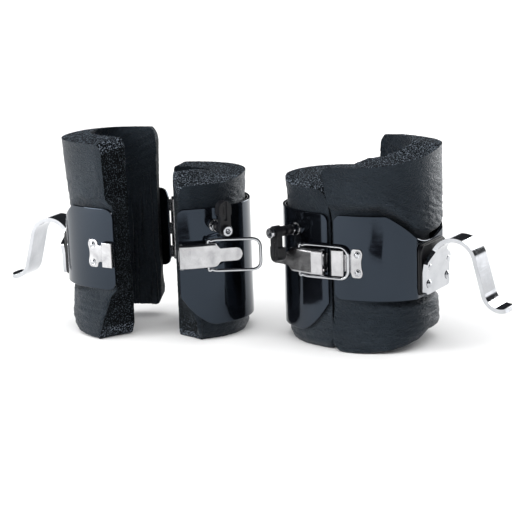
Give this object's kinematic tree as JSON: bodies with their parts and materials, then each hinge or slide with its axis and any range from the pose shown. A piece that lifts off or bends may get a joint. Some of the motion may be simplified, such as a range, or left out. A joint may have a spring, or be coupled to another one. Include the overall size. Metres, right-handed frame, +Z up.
{
  "type": "pair of inversion boots",
  "caption": "Pair of padded ankle cuffs with steel bar hooks, rear hinges and over-centre latches with safety arms; one boot stands open, one closed.",
  "frame": {"origin": "floor point under the middle of the pair's overall box", "axes": "+X from the left boot to the right boot, +Z up, -Y towards the latch side of both boots"},
  "size_m": [0.4916, 0.2332, 0.196],
  "materials": {
    "foam": "matte",
    "shell_plastic": "gloss",
    "steel": "polished",
    "bright_fasteners": "polished",
    "black_plastic": "satin"
  },
  "bodies": {
    "right_heel_half": {"right_heel_foam": "foam", "right_heel_shell": "shell_plastic", "right_hinge_rear_leaf": "steel", "right_hinge_rear_rivets": "bright_fasteners", "right_latch_base": "steel", "right_latch_rivets": "bright_fasteners", "right_latch_pin": "bright_fasteners", "right_lock_screw": "bright_fasteners", "right_lock_washer": "steel", "right_lock_nut": "bright_fasteners", "right_lock_sleeve": "black_plastic"},
    "right_front_half": {"right_front_foam": "foam", "right_front_shell": "shell_plastic", "right_hook": "steel", "right_hook_backing_plate": "black_plastic", "right_hook_rivets": "bright_fasteners", "right_catch": "steel", "right_catch_rivets": "bright_fasteners", "right_hinge_front_leaf": "steel", "right_hinge_front_rivets": "bright_fasteners", "right_hinge_pin": "bright_fasteners"},
    "right_lever": {"right_latch_lever": "steel"},
    "right_bail_loop": {"right_bail": "bright_fasteners"},
    "right_safety_arm": {"right_lock_arm": "black_plastic"},
    "left_heel_half": {"left_heel_foam": "foam", "left_heel_shell": "shell_plastic", "left_hinge_rear_leaf": "steel", "left_hinge_rear_rivets": "bright_fasteners", "left_latch_base": "steel", "left_latch_rivets": "bright_fasteners", "left_latch_pin": "bright_fasteners", "left_lock_screw": "bright_fasteners", "left_lock_washer": "steel", "left_lock_nut": "bright_fasteners", "left_lock_sleeve": "black_plastic"},
    "left_front_half": {"left_front_foam": "foam", "left_front_shell": "shell_plastic", "left_hook": "steel", "left_hook_backing_plate": "black_plastic", "left_hook_rivets": "bright_fasteners", "left_catch": "steel", "left_catch_rivets": "bright_fasteners", "left_hinge_front_leaf": "steel", "left_hinge_front_rivets": "bright_fasteners", "left_hinge_pin": "bright_fasteners"},
    "left_lever": {"left_latch_lever": "steel"},
    "left_bail_loop": {"left_bail": "bright_fasteners"},
    "left_safety_arm": {"left_lock_arm": "black_plastic"}
  },
  "joints": [
    {"name": "pair_lift", "type": "slide", "parent": "right_heel_half", "child": "left_heel_half", "axis": [0, 0, 1], "range_m": [0, 0.25]},
    {"name": "right_cuff_hinge", "type": "hinge", "parent": "right_heel_half", "child": "right_front_half", "pos_m": [0.13974, 0.02936, 0.088], "axis": [0, 0, 1], "range_deg": [0, 40]},
    {"name": "right_lever_pivot", "type": "hinge", "parent": "right_heel_half", "child": "right_lever", "pos_m": [0.06867, -0.07304, 0.0855], "axis": [0, 0, 1], "range_deg": [0, 1]},
    {"name": "right_bail_pivot", "type": "hinge", "parent": "right_lever", "child": "right_bail_loop", "pos_m": [0.04843, -0.05826, 0.0855], "axis": [0, 0, -1], "range_deg": [0, 120]},
    {"name": "right_arm_pivot", "type": "hinge", "parent": "right_heel_half", "child": "right_safety_arm", "pos_m": [0.04716, -0.04588, 0.1125], "axis": [-0.809, -0.5878, 0], "range_deg": [0, 180]},
    {"name": "left_cuff_hinge", "type": "hinge", "parent": "left_heel_half", "child": "left_front_half", "pos_m": [-0.07284, 0.09276, 0.088], "axis": [0, 0, -1], "range_deg": [-28, 62]},
    {"name": "left_lever_pivot", "type": "hinge", "parent": "left_heel_half", "child": "left_lever", "pos_m": [-0.0625, -0.03145, 0.0855], "axis": [0, 0, -1], "range_deg": [0, 95]},
    {"name": "left_bail_pivot", "type": "hinge", "parent": "left_lever", "child": "left_bail_loop", "pos_m": [-0.03757, -0.02878, 0.0855], "axis": [0, 0, 1], "range_deg": [-180, 0]},
    {"name": "left_arm_pivot", "type": "hinge", "parent": "left_heel_half", "child": "left_safety_arm", "pos_m": [-0.03029, -0.01869, 0.1125], "axis": [-0.4067, 0.9135, 0], "range_deg": [-180, 0]}
  ],
  "couplings": [
    {"joint": "right_bail_pivot", "follows": "right_cuff_hinge", "ratio": 3}
  ]
}
